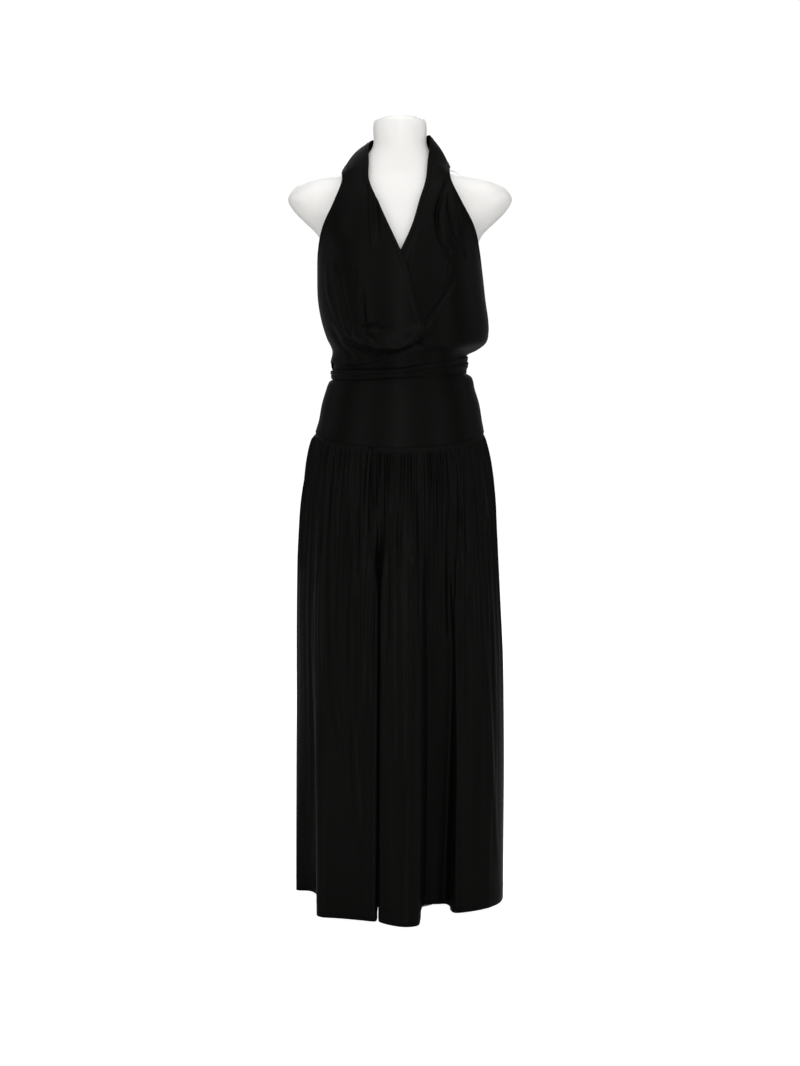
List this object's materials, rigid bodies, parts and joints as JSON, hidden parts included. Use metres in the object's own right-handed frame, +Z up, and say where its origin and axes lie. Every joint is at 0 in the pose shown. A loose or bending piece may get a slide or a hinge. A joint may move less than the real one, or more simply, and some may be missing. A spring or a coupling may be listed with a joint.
{
  "type": "halter-neck maxi dress on a limbless dress form",
  "caption": "Floor-length black jersey dress with a wrapped halter bodice, wound sash, fitted yoke and gathered skirt, worn by a plain limbless dress form on a pole and round base.",
  "frame": {"origin": "on the floor, at the middle of the underside of the form's round base", "axes": "+Z up; the front of the dress faces -Y; +X is the wearer's left, which is the right side seen from the front"},
  "size_m": [0.3944, 0.3507, 1.412],
  "materials": {
    "jersey": "matt black viscose jersey with a faint soft sheen on the ridges of its folds",
    "form": "smooth pale lacquered shell, lightly glossy",
    "steel": "satin brushed steel"
  },
  "bodies": {
    "root": {"form_base": "steel", "form_pole": "steel", "form_torso": "form", "bodice_right": "jersey", "bodice_left": "jersey", "bodice_back": "jersey", "sash_upper": "jersey", "sash_lower": "jersey", "yoke_front": "jersey", "yoke_back": "jersey", "skirt_front": "jersey", "skirt_back": "jersey"}
  },
  "joints": []
}
